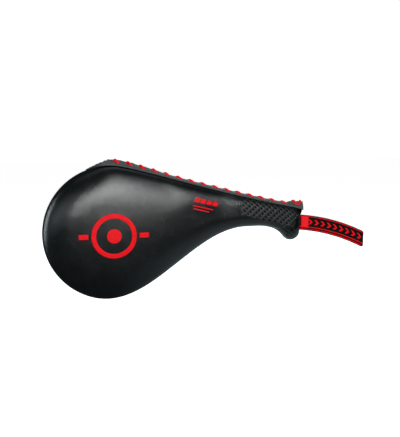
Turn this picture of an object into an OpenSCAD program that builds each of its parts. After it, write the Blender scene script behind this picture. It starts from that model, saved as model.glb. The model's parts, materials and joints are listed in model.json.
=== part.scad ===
// Kick paddle: a round double-sided striking head on a moulded grip, laced along its
// upper edge with a red cord, with an elastic wrist loop sewn into the end of the grip.
// X runs from the head's centre to the grip's end, Z up to the laced edge, the front
// face looks along -Y, and the back face of the head lies in the plane Y = 0.

/* [Head] */
// Radius of the round head
head_r = 95.6; // [92:0.1:99]
// Full thickness of the head
head_t = 44; // [40:0.5:48]
// Width of the crowned band between the rim and the flat middle of a face
crown_w = 48; // [44:0.5:50]

/* [Grip] */
// Distance from the head's centre to the laced corner of the grip's end
grip_x = 283; // [275:0.5:290]
// Full thickness of the grip
grip_t = 36; // [33:0.5:38]
// How far the flat middle stays back from the grip's end
end_round = 13; // [10:0.5:15]

/* [Cover] */
// Thickness of the leather skin
skin_t = 1.4; // [1:0.1:1.6]
// Half of the opening between the covers along the laced edge
open_y = 11; // [10:0.25:12]
// Thickness of the lace lips
lip_t = 1.8; // [1.4:0.1:2]
// Play left between a pad and its neighbours
play = 0.3; // [0.2:0.05:0.5]

/* [Lace] */
// Radius of the round cord
cord_r = 1.45; // [1.2:0.05:1.5]
// Number of cord turns along the edge
turns = 16; // [12:1:16]
// Distance from one turn to the next
pitch = 17.8; // [16:0.1:17.8]
// Position of the first turn
first_x = 10.5; // [9:0.5:10.5]

/* [Wrist loop] */
// Width of the elastic webbing
web_w = 20; // [18:0.5:21]
// Thickness of one webbing layer
web_t = 2; // [1.6:0.1:2]
// Distance of each layer's middle from the middle plane
layer_y = 1.6; // [1.5:0.05:1.7]
// Length of one arm of the loop, from crease to crease
arm_l = 45; // [40:0.5:50]
// Space left at each crease so the layers can fold
crease = 2.4; // [2.2:0.1:3]
// How much lower the back layer hangs than the front one
layer_drop = 3.8; // [2:0.1:4.5]
// Half height of the seam opening that the strap comes out of
slot_y = 2.8; // [2.6:0.1:3.2]

/* [Hidden] */
mid_y = -head_t / 2;
stretch = grip_x / 283;
size_r = head_r / 95.6;
n_head = 14;
n_neck = 22;
n_hook = 8;
n_end = 6;
cut = 28;
steps = n_head + n_neck + n_hook + n_end;
places = concat([for (i = [0:cut]) i], [cut + 0.22], [for (i = [cut + 1:steps]) i]);
n = len(places) - 1;
m = 7;
rings = [0, 0.05, 0.15, 0.32, 0.58, 1];
core_t = 3;
root_x = grip_x + 4.5;
loop_x = root_x + 12;
spine = [[-4.3, 95.5], [26.8, 96.9], [123.9, 58.3], [283, 26.5]];
belly = [[-41, -86.4], [45.9, -127.6], [112.9, 1.9], [197.7, 1.9]];
hook = [[197.7, 1.9], [217.4, 1.9], [242.7, 5.4], [261.5, -18.6]];
heel = [[261.5, -18.6], [265.5, -23], [279.5, -23], [282, -11]];
black = [0.05, 0.05, 0.055];
red = [0.85, 0.06, 0.07];

function bez(p, t) = pow(1 - t, 3) * p[0] + 3 * pow(1 - t, 2) * t * p[1]
    + 3 * (1 - t) * t * t * p[2] + pow(t, 3) * p[3];
function clamp(v) = min(1, max(0, v));
function ease(v) = clamp(v) * clamp(v) * (3 - 2 * clamp(v));
function unit(v) = v / norm(v);
function fit(p) = [p[0] * (p[0] > 0 ? stretch : size_r), p[1] * size_r];
function on_head(a) = head_r * [cos(a), sin(a)];
// The laced edge: t runs 0 to 1 along the spine, and below 0 back round the head.
function spine_at(t) = t < 0 ? on_head(92.58 - 56 * t) : fit(bez(spine, t));

// Matching places along the upper and the lower edge, from the head's pole to the end.
function upper_at(i) = i <= n_head ? on_head(180 - 87.4 * i / n_head)
    : i <= n_head + n_neck ? spine_at(0.806 * (i - n_head) / n_neck)
    : i <= steps - n_end ? spine_at(0.806 + 0.148 * (i - n_head - n_neck) / n_hook)
    : spine_at(0.954 + 0.046 * (i - steps + n_end) / n_end);
function lower_at(i) = i <= n_head ? on_head(180 + 64.6 * i / n_head)
    : i <= n_head + n_neck ? fit(bez(belly, (i - n_head) / n_neck))
    : i <= steps - n_end ? fit(bez(hook, (i - n_head - n_neck) / n_hook))
    : fit(bez(heel, (i - steps + n_end) / n_end));
upper = [for (i = places) upper_at(i)];
lower = [for (i = places) lower_at(i)];
function along(c, i) = i == 0 ? [0, 1] : unit(c[min(n, i + 1)] - c[i - 1]);
upper_n = [for (i = [0:n]) let (d = along(upper, i)) [d[1], -d[0]]];
lower_n = [for (i = [0:n]) let (d = along(lower, i)) i == 0 ? [1, 0] : [-d[1], d[0]]];

// How far the crowned band reaches in at a place, and the line where it ends.
function half_w(i) = i <= n_head ? head_r : norm(upper[i] - lower[i]) / 2;
function reach(i) = pow(pow(crown_w, -4) + pow(0.8 * half_w(i), -4), -0.25);
function end_pull(x) = [-end_round * ease((x - grip_x + 58) / 58), 0];
function inner(c, cn, i) = let (g = ease((c[i][0] - 60) / 90), q = (upper[i] + lower[i]) / 2)
    c[i] + end_pull(c[i][0]) + (1 - g) * reach(i) * cn[i]
    + (i == 0 ? [0, 0] : g * (q - c[i]) * reach(i) / half_w(i));
// Evened out where the spine bends away from the head, so that the line does not fold.
function evened(c, i) = abs(i - n_head - 1) > 4 ? c[i] : (c[i - 1] + c[i] + c[i + 1]) / 3;
upper_raw = [for (i = [0:n]) inner(upper, upper_n, i)];
upper_in = [for (i = [0:n]) evened(upper_raw, i)];
lower_in = [for (i = [0:n]) inner(lower, lower_n, i)];

function half_t(x) = grip_t / 2 + (head_t - grip_t) / 2 * (1 - ease((x - 90) / 80));
function swell(f) = pow(1 - pow(1 - f, 2.2), 0.5);
// Height of a cover's edge above the middle plane: open along the lace.
function spine_gap(x) = 0.1 + (open_y - 0.1) * ease((x + 46) / 56);
function end_gap(z) = 0.1 + (open_y - 0.1) * ease((z - 16) / 9);

// One point of a skin: c on the edge, q on the inner line, cn the direction inward,
// f the fraction of the band, y0 the edge's height, s the inset from the outside.
function skin(c, q, cn, f, y0, s) =
    let (p = c + cn * s, w = p + (q - p) * f,
         h = y0 + (half_t(w[0]) - s - y0) * swell(f)) [w[0], -h, w[1]];
function floor_gap(y0, low) = low == 0 ? y0 : max(y0, low + 0.6);
// The base of a filling keeps a little inside the skin, and well back from the lace.
function edge_inset(x, s, low) = low == 0 ? s : s + 0.9 + 3 * ease((x + 46) / 28);

// A closed ring of points at fraction f, over places a to b. Past the last place the
// ring turns round the end of the grip. A filling's base ring is lifted above low.
function ring(a, b, f, s, low) = concat(
    [for (i = [a:b]) skin(upper[i], upper_in[i], upper_n[i], f,
        floor_gap(spine_gap(upper[i][0]), low), edge_inset(upper[i][0], s, low))],
    b < n ? [] : [for (j = [1:m]) let (k = j / (m + 1),
        p = upper[n] * (1 - k) + lower[n] * k, q = upper_in[n] * (1 - k) + lower_in[n] * k)
        skin(p, q, [-1, 0], f, floor_gap(end_gap(p[1]), low), edge_inset(-head_r, s, low))],
    [for (i = [b:-1:max(a, 1)]) skin(lower[i], lower_in[i], lower_n[i], f,
        floor_gap(0.1, low), edge_inset(-head_r, s, low))]);
function flat(r, y) = [for (p = r) [p[0], y, p[2]]];

// Triangles between rings r0 and r1 of c points each, and over one whole ring.
function band(c, r0, r1) = [for (i = [0:c - 1]) let (j = (i + 1) % c)
    each [[r0 * c + i, r0 * c + j, r1 * c + j], [r0 * c + i, r1 * c + j, r1 * c + i]]];
function bands(c, r0, r1) = [for (r = [r0:r1 - 1]) each band(c, r, r + 1)];
function facing(o, k, e, a, i) = a == 0 && i == 0 ? o : o + 2 * k + 1 + e - i;
function lid(c, r, a, b) = let (e = b < n ? 0 : m, k = b - a, o = r * c) concat(
    [for (i = [0:k - (b < n ? 1 : 2)]) each
        [[o + i, o + i + 1, facing(o, k, e, a, i + 1)],
        if (a > 0 || i > 0) [o + i, facing(o, k, e, a, i + 1), facing(o, k, e, a, i)]]],
    b < n ? [] : [concat([o + k - 1], [for (i = [o + k:o + k + 1 + e]) i],
        [facing(o, k, e, a, k - 1)])]);
function turned(f) = [for (t = f) [for (i = [len(t) - 1:-1:0]) t[i]]];

module half_cover() {
    k = len(rings);
    outer = [for (f = rings) each ring(0, n, f, 0, 0)];
    inside = [for (i = [k - 1:-1:0]) each ring(0, n, rings[i], skin_t, 0)];
    c = len(outer) / k;
    difference() {
        polyhedron(concat(outer, inside), concat(bands(c, 0, k - 1), lid(c, k - 1, 0, n),
            turned(lid(c, k, 0, n)), bands(c, k, 2 * k - 1), band(c, 2 * k - 1, 0)));
        // Opening in the end seam that the strap comes out of
        translate([grip_x - 6, -slot_y, sag(grip_x) - layer_drop / 2 - web_w / 2 - 1.2])
            cube([10, 2 * slot_y, web_w + 2.4]);
    }
}

// Foam from a flat base at height low out to the inside of a cover.
module filling(a, b, low) {
    s = skin_t + play;
    base = ring(a, b, 0, s, low);
    c = len(base);
    rows = concat([flat(base, -low), base],
        [for (i = [1:len(rings) - 1]) ring(a, b, rings[i], s, 0)]);
    k = len(rows);
    polyhedron([for (r = rows) each r],
        concat(turned(lid(c, 0, a, b)), bands(c, 0, k - 1), lid(c, k - 1, a, b)));
}

// A bar swept through rows of c points each.
module sweep(rows, c) {
    k = len(rows);
    polyhedron([for (r = rows) each r], concat(turned([[for (i = [0:c - 1]) i]]),
        bands(c, 0, k - 1), [[for (i = [0:c - 1]) (k - 1) * c + i]]));
}

module back_side() { mirror([0, 1, 0]) children(); }
module at_middle() { translate([0, mid_y, 0]) children(); }
module upright(h) { rotate([90, 0, 0]) linear_extrude(h) children(); }

// The laced edge. Two lips lean together over the opening like a low roof.
function find_t(x, a, b, k) = let (c = (a + b) / 2)
    k == 0 ? c : spine_at(c)[0] < x ? find_t(x, c, b, k - 1) : find_t(x, a, c, k - 1);
function rise(x) = (1.2 + 4.5 * (1 - ease((x - 5) / 100))) * (0.02 + 0.98 * ease((x + 30) / 32))
    + 6.8 * ease((x - grip_x + 28) / 24);
function foot(x) = spine_gap(x) + 0.25;
// The point at distance y from the middle plane and height e over a lip's mid surface.
function over_lip(t, y, e) = let (p = spine_at(t), g = foot(p[0]), r = rise(p[0]),
    v = (g - abs(y)) / (g - 0.9), o = unit([r * clamp(abs(y) / 2.5), g - 0.9]))
    [p[0], y + sign(y) * e * o[0], p[1] + 1.5 + v * r + e * o[1]];
function lip_row(t) = let (x = spine_at(t)[0], g = foot(x)) [over_lip(t, -g, -lip_t / 2),
    over_lip(t, -g, lip_t / 2), over_lip(t, -0.9, lip_t / 2), over_lip(t, -0.9, -lip_t / 2)];
function hole_y(x) = 0.9 + 0.5 * (foot(x) - 0.9);
lip_from = -0.325;
lip_to = 1.006;
lock_x = first_x + pitch * (turns - 1) + 3.3;
front_holes = concat([for (i = [0:turns - 1]) first_x + pitch * i], [lock_x]);
back_holes = concat([for (i = [0:turns - 1]) first_x + pitch * (i - 0.5)], [lock_x + 1]);

module lace_hole(x) {
    g = foot(x);
    translate(over_lip(find_t(x, -0.4, 1.02, 22), -hole_y(x), 0))
        rotate([atan2(rise(x), g - 0.9), 0, 0])
            cylinder(h = 7, r = cord_r + 1.5, center = true, $fn = 24);
}

module lip(holes) {
    difference() {
        sweep([for (i = [0:70]) lip_row(lip_from + (lip_to - lip_from) * i / 70)], 4);
        for (x = holes) lace_hole(x);
    }
}

// Black stitches that hold a lip to its cover.
module lip_thread() {
    for (x = [6:5:grip_x - 4]) {
        g = foot(x);
        t = find_t(x, -0.4, 1.02, 22);
        a = over_lip(t, -g + 1.5, lip_t / 2 + 0.75);
        d = spine_at(t + 0.01) - spine_at(t);
        translate(a) rotate([0, atan2(d[0], d[1]), 0])
            cylinder(h = 3.2, r = 0.35, center = true, $fn = 16);
    }
}

function cord_step(a) = let (s = sin(a)) sign(s) * 3.3 * sqrt(abs(s));
function cord_at(x, a) = over_lip(find_t(x, -0.4, 1.02, 22), -hole_y(x) * cos(a), cord_step(a));
function hoop(p, d) = let (t = unit(d), u = unit(cross(t, [1, 0, 0])), v = cross(t, u))
    [for (a = [0:60:300]) p + cord_r * (cos(a) * u - sin(a) * v)];
module cord(path) {
    k = len(path) - 1;
    sweep([for (i = [0:k]) hoop(path[i], path[min(k, i + 1)] - path[max(0, i - 1)])], 6);
}
turn_a = [0, 8, 22, 45, 90, 135, 158, 172];

// Fabric strip in the plane of the paddle, between two places along the strap.
function sag(x) = let (d = x - grip_x - 1.6) 6.5 - 0.09 * d - 0.00185 * d * d;
function slant(x) = sqrt(1 + pow(0.09 + 0.0037 * (x - grip_x - 1.6), 2));
module strip(x0, x1, w, y0, y1, dz) {
    k = 6;
    xs = [for (i = [0:k]) x0 + (x1 - x0) * i / k];
    translate([0, y1, dz]) upright(y1 - y0) polygon(concat(
        [for (x = xs) [x, sag(x) + w / 2 * slant(x)]],
        [for (i = [k:-1:0]) [xs[i], sag(xs[i]) - w / 2 * slant(xs[i])]]));
}
module front_layer(x0, x1) {
    strip(x0, x1, web_w, -layer_y - web_t / 2, -layer_y + web_t / 2, 0);
}
module back_layer(x0, x1) {
    strip(x0, x1, web_w, layer_y - web_t / 2, layer_y + web_t / 2, -layer_drop);
}

module front_cover() { color(black) at_middle() half_cover(); }

module back_cover() { color(black) at_middle() back_side() half_cover(); }

module front_pad() { color([0.25, 0.25, 0.27]) at_middle() filling(0, cut, core_t / 2 + play); }

module back_pad() {
    color([0.25, 0.25, 0.27]) at_middle() back_side() filling(0, cut, core_t / 2 + play);
}

module front_grip_former() { color([0.2, 0.2, 0.2]) at_middle() filling(cut + 1, n, 2.5); }

module back_grip_former() {
    color([0.2, 0.2, 0.2]) at_middle() back_side() filling(cut + 1, n, 2.5);
}

// Springy board in the middle plane, from the head into the grip.
module core_board() {
    last = n - n_end - 3;
    color([0.8, 0.78, 0.7]) at_middle() translate([0, core_t / 2, 0]) upright(core_t)
        polygon(concat([for (i = [0:last]) upper[i] + 12 * upper_n[i]],
            [for (i = [last:-1:1]) lower[i] + 12 * lower_n[i]]));
}

module front_lip() { color([0.11, 0.11, 0.12]) at_middle() lip(front_holes); }

module back_lip() { color([0.11, 0.11, 0.12]) at_middle() back_side() lip(back_holes); }

module front_lip_thread() { color([0.08, 0.08, 0.08]) at_middle() lip_thread(); }

module back_lip_thread() { color([0.08, 0.08, 0.08]) at_middle() back_side() lip_thread(); }

// Black liner that closes the opening under the lace.
module tongue() {
    color([0.04, 0.04, 0.04]) at_middle() sweep([for (i = [0:46])
        let (p = spine_at(-0.26 + 1.255 * i / 46), g = max(0.6, spine_gap(p[0]) - 2.2))
        [for (c = [[-g, -4.2], [-g, -3], [g, -3], [g, -4.2]]) [p[0], c[0], p[1] + c[1]]]], 4);
}

module lace() {
    last = first_x + pitch * (turns - 1);
    color(red) at_middle() cord([for (a = concat([-45, -22, -8],
        [for (i = [0:turns - 1]) each [for (h = [0, 180]) each [for (b = turn_a)
            if (i < turns - 1 || h == 0) 360 * i + h + b]]],
        [for (b = [0, 8, 22, 45]) 360 * turns - 180 + b])) cord_at(last - pitch * a / 360, a)]);
}

// The last turn, locked over the end tab beside the turn before it.
module lace_lock() {
    color(red) at_middle() cord([for (a = concat([-45, -22, -8], turn_a, [180, 188, 202, 225]))
        cord_at(lock_x + a / 180, a)]);
}

// Raised target print in the middle of the front face.
module emblem() {
    color(red) translate([0, -head_t - 0.05, 0]) upright(0.25) {
        difference() { circle(r = 31, $fn = 96); circle(r = 24.5, $fn = 96); }
        circle(r = 10, $fn = 64);
        for (a = [0, 180]) rotate(a) translate([35, -3.5]) square([13, 7]);
    }
}

module strap_tail() {
    color(red) at_middle()
        strip(grip_x - 18, root_x - 2.1, web_w, -layer_y - 0.4, layer_y + 0.4, -layer_drop / 2);
}

module strap_root() {
    color(black) at_middle() {
        front_layer(root_x + 0.6, loop_x - crease / 2);
        back_layer(root_x + 0.6, loop_x - crease / 2);
    }
}

module strap_label() {
    y = -layer_y - web_t / 2;
    color(red) at_middle() strip(root_x + 0.8, root_x + 10, 17, y - 0.7, y - 0.1, -0.6);
}

// Thread along the two short sides of the label.
module label_thread() {
    y = -layer_y - web_t / 2 - 1.05;
    color([0.6, 0.03, 0.04]) at_middle() for (x = [root_x + 2, root_x + 8.8], k = [-3:3])
        translate([x, y, sag(x) - 0.6 + 2.2 * k]) cylinder(h = 1.6, r = 0.25, center = true, $fn = 16);
}

module strap_front_near() {
    color(black) at_middle() front_layer(loop_x + crease / 2, loop_x + arm_l - crease / 2);
}

module strap_front_far() {
    color(black) at_middle()
        front_layer(loop_x + arm_l + crease / 2, loop_x + 2 * arm_l - crease / 2);
}

module strap_back_near() {
    color(black) at_middle() back_layer(loop_x + crease / 2, loop_x + arm_l - crease / 2);
}

module strap_back_far() {
    color(black) at_middle()
        back_layer(loop_x + arm_l + crease / 2, loop_x + 2 * arm_l - crease / 2);
}

// The far end, where the webbing turns back on itself.
module strap_fold() {
    x = loop_x + 2 * arm_l + crease / 2;
    h = web_w / 2 * slant(x);
    at = concat([[x, 180]], [for (a = [180:-22.5:0]) [x + 0.4, a]], [[x, 0]]);
    rows = [for (p = at) let (z = sag(x) - layer_drop * (180 - p[1]) / 180)
        [for (c = [[-1, -h], [-1, h], [1, h], [1, -h]])
            let (r = layer_y + c[0] * web_t / 2) [p[0] + r * sin(p[1]), r * cos(p[1]), z + c[1]]]];
    color(black) at_middle() sweep(rows, 4);
}

front_cover();
back_cover();
front_pad();
back_pad();
core_board();
front_grip_former();
back_grip_former();
front_lip();
back_lip();
front_lip_thread();
back_lip_thread();
tongue();
lace();
lace_lock();
emblem();
strap_tail();
strap_root();
strap_label();
label_thread();
strap_front_near();
strap_front_far();
strap_fold();
strap_back_far();
strap_back_near();
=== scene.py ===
"""Kick paddle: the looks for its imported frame.

Lengths are millimetres in the CAD model's own frame, and become metres in make().
X runs from the head's centre to the grip's end, Z up to the laced edge, and the
front face looks along -Y.
"""
import json
import math

import bmesh
import bpy
import numpy as np
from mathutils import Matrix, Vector
from mathutils.bvhtree import BVHTree


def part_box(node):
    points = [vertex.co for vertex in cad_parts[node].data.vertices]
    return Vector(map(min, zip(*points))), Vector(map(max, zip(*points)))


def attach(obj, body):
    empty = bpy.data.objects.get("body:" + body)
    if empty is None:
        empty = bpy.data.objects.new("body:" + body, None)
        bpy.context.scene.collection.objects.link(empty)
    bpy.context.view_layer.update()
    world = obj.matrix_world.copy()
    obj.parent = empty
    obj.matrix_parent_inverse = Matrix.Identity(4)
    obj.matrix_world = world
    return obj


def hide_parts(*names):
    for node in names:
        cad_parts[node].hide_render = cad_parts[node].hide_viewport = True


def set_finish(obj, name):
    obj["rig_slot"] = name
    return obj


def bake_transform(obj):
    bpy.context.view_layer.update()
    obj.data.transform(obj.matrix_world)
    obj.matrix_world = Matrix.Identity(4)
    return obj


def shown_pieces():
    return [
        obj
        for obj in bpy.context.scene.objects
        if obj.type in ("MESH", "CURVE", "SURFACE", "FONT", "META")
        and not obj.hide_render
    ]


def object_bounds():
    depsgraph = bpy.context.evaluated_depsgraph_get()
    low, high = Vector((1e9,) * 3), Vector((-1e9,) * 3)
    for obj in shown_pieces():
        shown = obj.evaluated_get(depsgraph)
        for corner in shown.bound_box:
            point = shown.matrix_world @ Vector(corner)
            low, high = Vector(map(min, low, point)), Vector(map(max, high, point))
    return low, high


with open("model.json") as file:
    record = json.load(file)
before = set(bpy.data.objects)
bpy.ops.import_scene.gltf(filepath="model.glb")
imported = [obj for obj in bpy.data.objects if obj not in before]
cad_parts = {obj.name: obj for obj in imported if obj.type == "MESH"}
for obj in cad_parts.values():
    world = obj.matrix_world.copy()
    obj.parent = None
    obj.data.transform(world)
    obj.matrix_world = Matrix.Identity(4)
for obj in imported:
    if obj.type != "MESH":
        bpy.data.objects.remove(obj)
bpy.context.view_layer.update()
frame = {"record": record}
MM = 0.001


# ---------------------------------------- sizes
def box_mm(node):
    """Lowest and highest corner of a node's box."""
    return [np.array(corner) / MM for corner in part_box(node)]


cover_low, cover_high = box_mm("front_cover")
root_low, root_high = box_mm("strap_root")
near_low, near_high = box_mm("strap_front_near")
far_low = box_mm("strap_front_far")[0]
HEAD_R = -cover_low[0]
HEAD_T = box_mm("back_cover")[1][1] - cover_low[1]
MID_Y = cover_low[1] + HEAD_T / 2
GRIP_X = cover_high[0]  # the grip's end
ROOT_X = root_low[0] - 0.6  # hinge where the strap leaves the grip
LOOP_X = (root_high[0] + near_low[0]) / 2  # where the strap's layers part
ARM = (near_high[0] + far_low[0]) / 2 - LOOP_X  # half the loop's length
GRIP_T = 36.0
CROWN_W = 48.0  # width of the rounded band along the body's edge
OPEN_Y = 11.0  # half width of the opening under the lacing
SEAM_Y = 0.15  # half width of the closed seam
SKIN_T = 1.4
LIP_T = 1.7
LIP_LIFT = 1.5
PITCH = 17.8  # along the edge, from one turn of the lace to the next
FIRST_X = 10.5
TURNS = 16
CORD_R = 1.65
WEB_T = 1.7
WEB_W = 20.0
LAYER_Y = 1.6  # from the middle plane to the middle of a layer of webbing
LAYER_DROP = 3.8  # how far the back layer hangs below the front one
SAG_FROM = GRIP_X + 1.6  # the webbing's droop, a parabola from here on
SAG_TOP, SAG_SLOPE, SAG_CURVE = 6.5, 0.09, 0.00185

# steps along the outline's four parts, rows across a face and rings round the edge
N_HEAD, N_NECK, N_HOOK, N_HEEL = 48, 80, 48, 26
N_ROWS = 28
N_RINGS = 17

# cubic curves of the outline as drawn, x and z; fitted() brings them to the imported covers' size
DRAWN_HEAD_R = 95.6
DRAWN_GRIP_X = 283
SPINE = np.array([[-4.3, 95.5], [26.8, 96.9], [123.9, 58.3], [DRAWN_GRIP_X, 26.5]])
BELLY = np.array([[-41, -86.4], [45.9, -127.6], [112.9, 1.9], [197.7, 1.9]])
HOOK = np.array([[197.7, 1.9], [217.4, 1.9], [242.7, 5.4], [261.5, -18.6]])
HEEL = np.array([[261.5, -18.6], [265.5, -23], [279.5, -23], [282, -11]])
SPINE_FROM = 92.58  # angle on the head, in degrees, where the spine starts
BELLY_FROM = 244.6
HOOK_T, HEEL_T = 0.806, 0.954  # where the hook and the heel start, along the spine


# ---------------------------------------- small helpers
def ease(v):
    """A smooth step: 0 below 0 and 1 above 1."""
    v = np.clip(v, 0, 1)
    return v * v * (3 - 2 * v)


def bez(p, t):
    """Points at t on the cubic curve with the four poles p."""
    t = np.asarray(t, float)[..., None]
    return (1 - t) ** 3 * p[0] + 3 * (1 - t) ** 2 * t * p[1] + 3 * (1 - t) * t**2 * p[2] + t**3 * p[3]


def fitted(p):
    p = np.array(p, float)
    p[..., 0] *= np.where(p[..., 0] > 0, GRIP_X / DRAWN_GRIP_X, HEAD_R / DRAWN_HEAD_R)
    p[..., 1] *= HEAD_R / DRAWN_HEAD_R
    return p


def spine_at(t):
    """The laced edge: t runs 0 to 1 along the spine, and below 0 back round the head."""
    t = np.asarray(t, float)
    a = np.radians(SPINE_FROM - 56 * t)
    on_head = HEAD_R * np.stack([np.cos(a), np.sin(a)], -1)
    return np.where(t[..., None] < 0, on_head, fitted(bez(SPINE, t)))


def unit(v):
    """Vectors brought to length 1."""
    return v / np.maximum(np.linalg.norm(v, axis=-1, keepdims=True), 1e-9)


def placed(name, data):
    """A new object in the scene."""
    obj = bpy.data.objects.new(name, data)
    bpy.context.scene.collection.objects.link(obj)
    return obj


def make(name, verts, faces):
    """A mesh object from points in millimetres and counter-clockwise faces."""
    mesh = bpy.data.meshes.new(name)
    mesh.from_pydata((np.asarray(verts, float) * MM).tolist(), [], faces)
    mesh.update()
    mesh.polygons.foreach_set("use_smooth", [True] * len(mesh.polygons))
    return placed(name, mesh)


def solid(name, verts, faces, weld=0.0):
    """A closed mesh object, its faces turned outward and points closer than weld made one."""
    obj = make(name, verts, faces)
    bm = bmesh.new()
    bm.from_mesh(obj.data)
    if weld:
        bmesh.ops.remove_doubles(bm, verts=bm.verts, dist=weld * MM)
    bmesh.ops.recalc_face_normals(bm, faces=bm.faces)
    bm.to_mesh(obj.data)
    bm.free()
    return obj


def read(items, key, width=3):
    """The values of key for all items, width numbers each."""
    out = np.empty(len(items) * width)
    items.foreach_get(key, out)
    return out.reshape(-1, width)


def get_points(obj):
    return read(obj.data.vertices, "co") / MM


def set_points(obj, co):
    obj.data.vertices.foreach_set("co", (np.asarray(co, float) * MM).ravel())
    obj.data.update()


def store(obj, name, values):
    """One number per vertex that shaders and subdivision can use."""
    layer = obj.data.attributes.new(name, "FLOAT", "POINT")
    layer.data.foreach_set("value", np.asarray(values, np.float32).ravel())


def stored(obj, name):
    return read(obj.data.attributes[name].data, "value", 1)[:, 0]


def modify(obj, kind, **settings):
    """Adds one modifier and applies it."""
    mod = obj.modifiers.new(kind.lower(), kind)
    for key, value in settings.items():
        setattr(mod, key, value)
    bpy.context.view_layer.update()
    graph = bpy.context.evaluated_depsgraph_get()
    done = bpy.data.meshes.new_from_object(obj.evaluated_get(graph), depsgraph=graph)
    obj.modifiers.clear()
    obj.data = done
    done.polygons.foreach_set("use_smooth", [True] * len(done.polygons))


def belongs(obj, body, slot, *nodes):
    """The piece rides on a body and stands for the CAD nodes."""
    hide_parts(*nodes)
    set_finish(obj, slot)
    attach(obj, body)


def mirrored(obj, name):
    """The same mesh on the other side of the middle plane, with its stored numbers."""
    co = get_points(obj)
    co[:, 1] = 2 * MID_Y - co[:, 1]
    twin = make(name, co, [tuple(reversed(p.vertices)) for p in obj.data.polygons])
    for key in ("u", "v", "rim", "grip", "pit"):
        if key in obj.data.attributes:
            store(twin, key, stored(obj, key))
    return twin


def band_faces(rows, c, closed=True, start=0):
    """Quads between rows of c points; the points run round each row, or across it if open."""
    i = np.arange(c if closed else c - 1)
    j = (i + 1) % c
    return [quad for r in range(rows - 1) for quad in
            np.stack([start + r * c + i, start + (r + 1) * c + i,
                      start + (r + 1) * c + j, start + r * c + j], 1).tolist()]


def joined(parts):
    """One (points, faces) pair from several."""
    verts, faces, n = [], [], 0
    for v, f in parts:
        verts.append(v)
        faces += [[n + k for k in face] for face in f]
        n += len(v)
    return np.vstack(verts), faces


def lengths(path):
    """Length along the path at each of its points."""
    return np.concatenate([[0], np.cumsum(np.linalg.norm(np.diff(path, axis=0), axis=1))])


def frames_along(path, hint):
    """Side and up vectors along a path. The side stays square to the hint."""
    t = unit(np.gradient(path, axis=0))
    side = unit(np.cross(t, hint))
    return side, np.cross(side, t)


def tube(path, radius, c, hint=(1.0, 0.0, 0.0)):
    """A closed tube of c sides with round ends. radius(s, angle) takes arrays of length and angle."""
    path = np.asarray(path, float)
    side, up = frames_along(path, np.array(hint))
    s = lengths(path)
    ang = np.arange(c) * 2 * math.pi / c
    r = radius(s[:, None], ang[None, :]) * np.ones((len(path), c))
    cap = np.minimum(1, np.sqrt(np.clip(np.minimum(s, s[-1] - s) / r.mean() * 0.98 + 0.02, 0, 1)))
    r = r * cap[:, None]
    ring = side[:, None] * (np.cos(ang)[None, :, None] * r[..., None])
    ring = ring + up[:, None] * (np.sin(ang)[None, :, None] * r[..., None])
    verts = (path[:, None] + ring).reshape(-1, 3)
    rows = len(path)
    faces = band_faces(rows, c)
    faces += [list(range(c)), [(rows - 1) * c + k for k in range(c)][::-1]]
    return verts, faces


def even(path, step):
    """The path resampled at even steps."""
    s = lengths(path)
    q = np.linspace(0, s[-1], max(4, int(s[-1] / step)))
    return np.stack([np.interp(q, s, path[:, k]) for k in range(3)], 1)


def smoothed(path, times):
    """The path with its corners rounded; its ends stay."""
    for _ in range(times):
        path = np.vstack([path[:1], (path[:-2] + 2 * path[1:-1] + path[2:]) / 4, path[-1:]])
    return path


# ---------------------------------------- outline of the body
def outline():
    """Matching points on the upper and the lower edge, from the head's pole to the grip's end."""
    head = np.arange(N_HEAD + 1) / N_HEAD
    up = np.radians(180 - 87.4 * head)
    down = np.radians(180 + (BELLY_FROM - 180) * head)
    neck, hook, heel = (np.arange(1, k + 1) / k for k in (N_NECK, N_HOOK, N_HEEL))
    upper = np.vstack([HEAD_R * np.stack([np.cos(up), np.sin(up)], 1), spine_at(HOOK_T * neck),
                       spine_at(HOOK_T + (HEEL_T - HOOK_T) * hook), spine_at(HEEL_T + (1 - HEEL_T) * heel)])
    lower = np.vstack([HEAD_R * np.stack([np.cos(down), np.sin(down)], 1), fitted(bez(BELLY, neck)),
                       fitted(bez(HOOK, hook)), fitted(bez(HEEL, heel))])
    return upper, lower


def edge_normals(c, sign):
    """Directions square to the edge c, towards the inside."""
    d = unit(np.gradient(c, axis=0))
    n = np.stack([sign * d[:, 1], -sign * d[:, 0]], 1)
    n[0] = [1, 0]
    return n


def inner_line(c, n, other, half):
    """The line where the crowned band of a face ends."""
    reach = (CROWN_W**-4 + (0.8 * half) ** -4) ** -0.25
    g = ease((c[:, 0] - 60) / 90)[:, None]
    out = c + (1 - g) * reach[:, None] * n + g * ((c + other) / 2 - c) * (reach / half)[:, None]
    out[:, 0] -= 13 * ease((c[:, 0] - GRIP_X + 58) / 58)
    return out


def half_t(x):
    """Half the body's thickness, from the head to the thinner grip."""
    return GRIP_T / 2 + (HEAD_T - GRIP_T) / 2 * (1 - ease((x - 90) / 80))


def swell(f):
    """Rise of the rounded band, from 0 at the seam to 1 at the inner line."""
    return (1 - (1 - f) ** 2.2) ** 0.5


def spine_gap(x):
    """Half width of the laced edge's opening, closed on the far side of the head."""
    return SEAM_Y + (OPEN_Y - SEAM_Y) * ease((x + 46) / 56)


def sag(x):
    """Height of the webbing's middle: it droops under its own weight."""
    d = x - SAG_FROM
    return SAG_TOP - SAG_SLOPE * d - SAG_CURVE * d * d


def end_gap(z):
    """Half width of the seam at the grip's end: open under the lips and round the strap."""
    strap = (WEB_T + 1.0) * ease((13.4 - np.abs(z - sag(GRIP_X) + LAYER_DROP / 2)) / 3)
    return np.maximum(SEAM_Y + (OPEN_Y - SEAM_Y) * ease((z - 16) / 9), strap)


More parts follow.
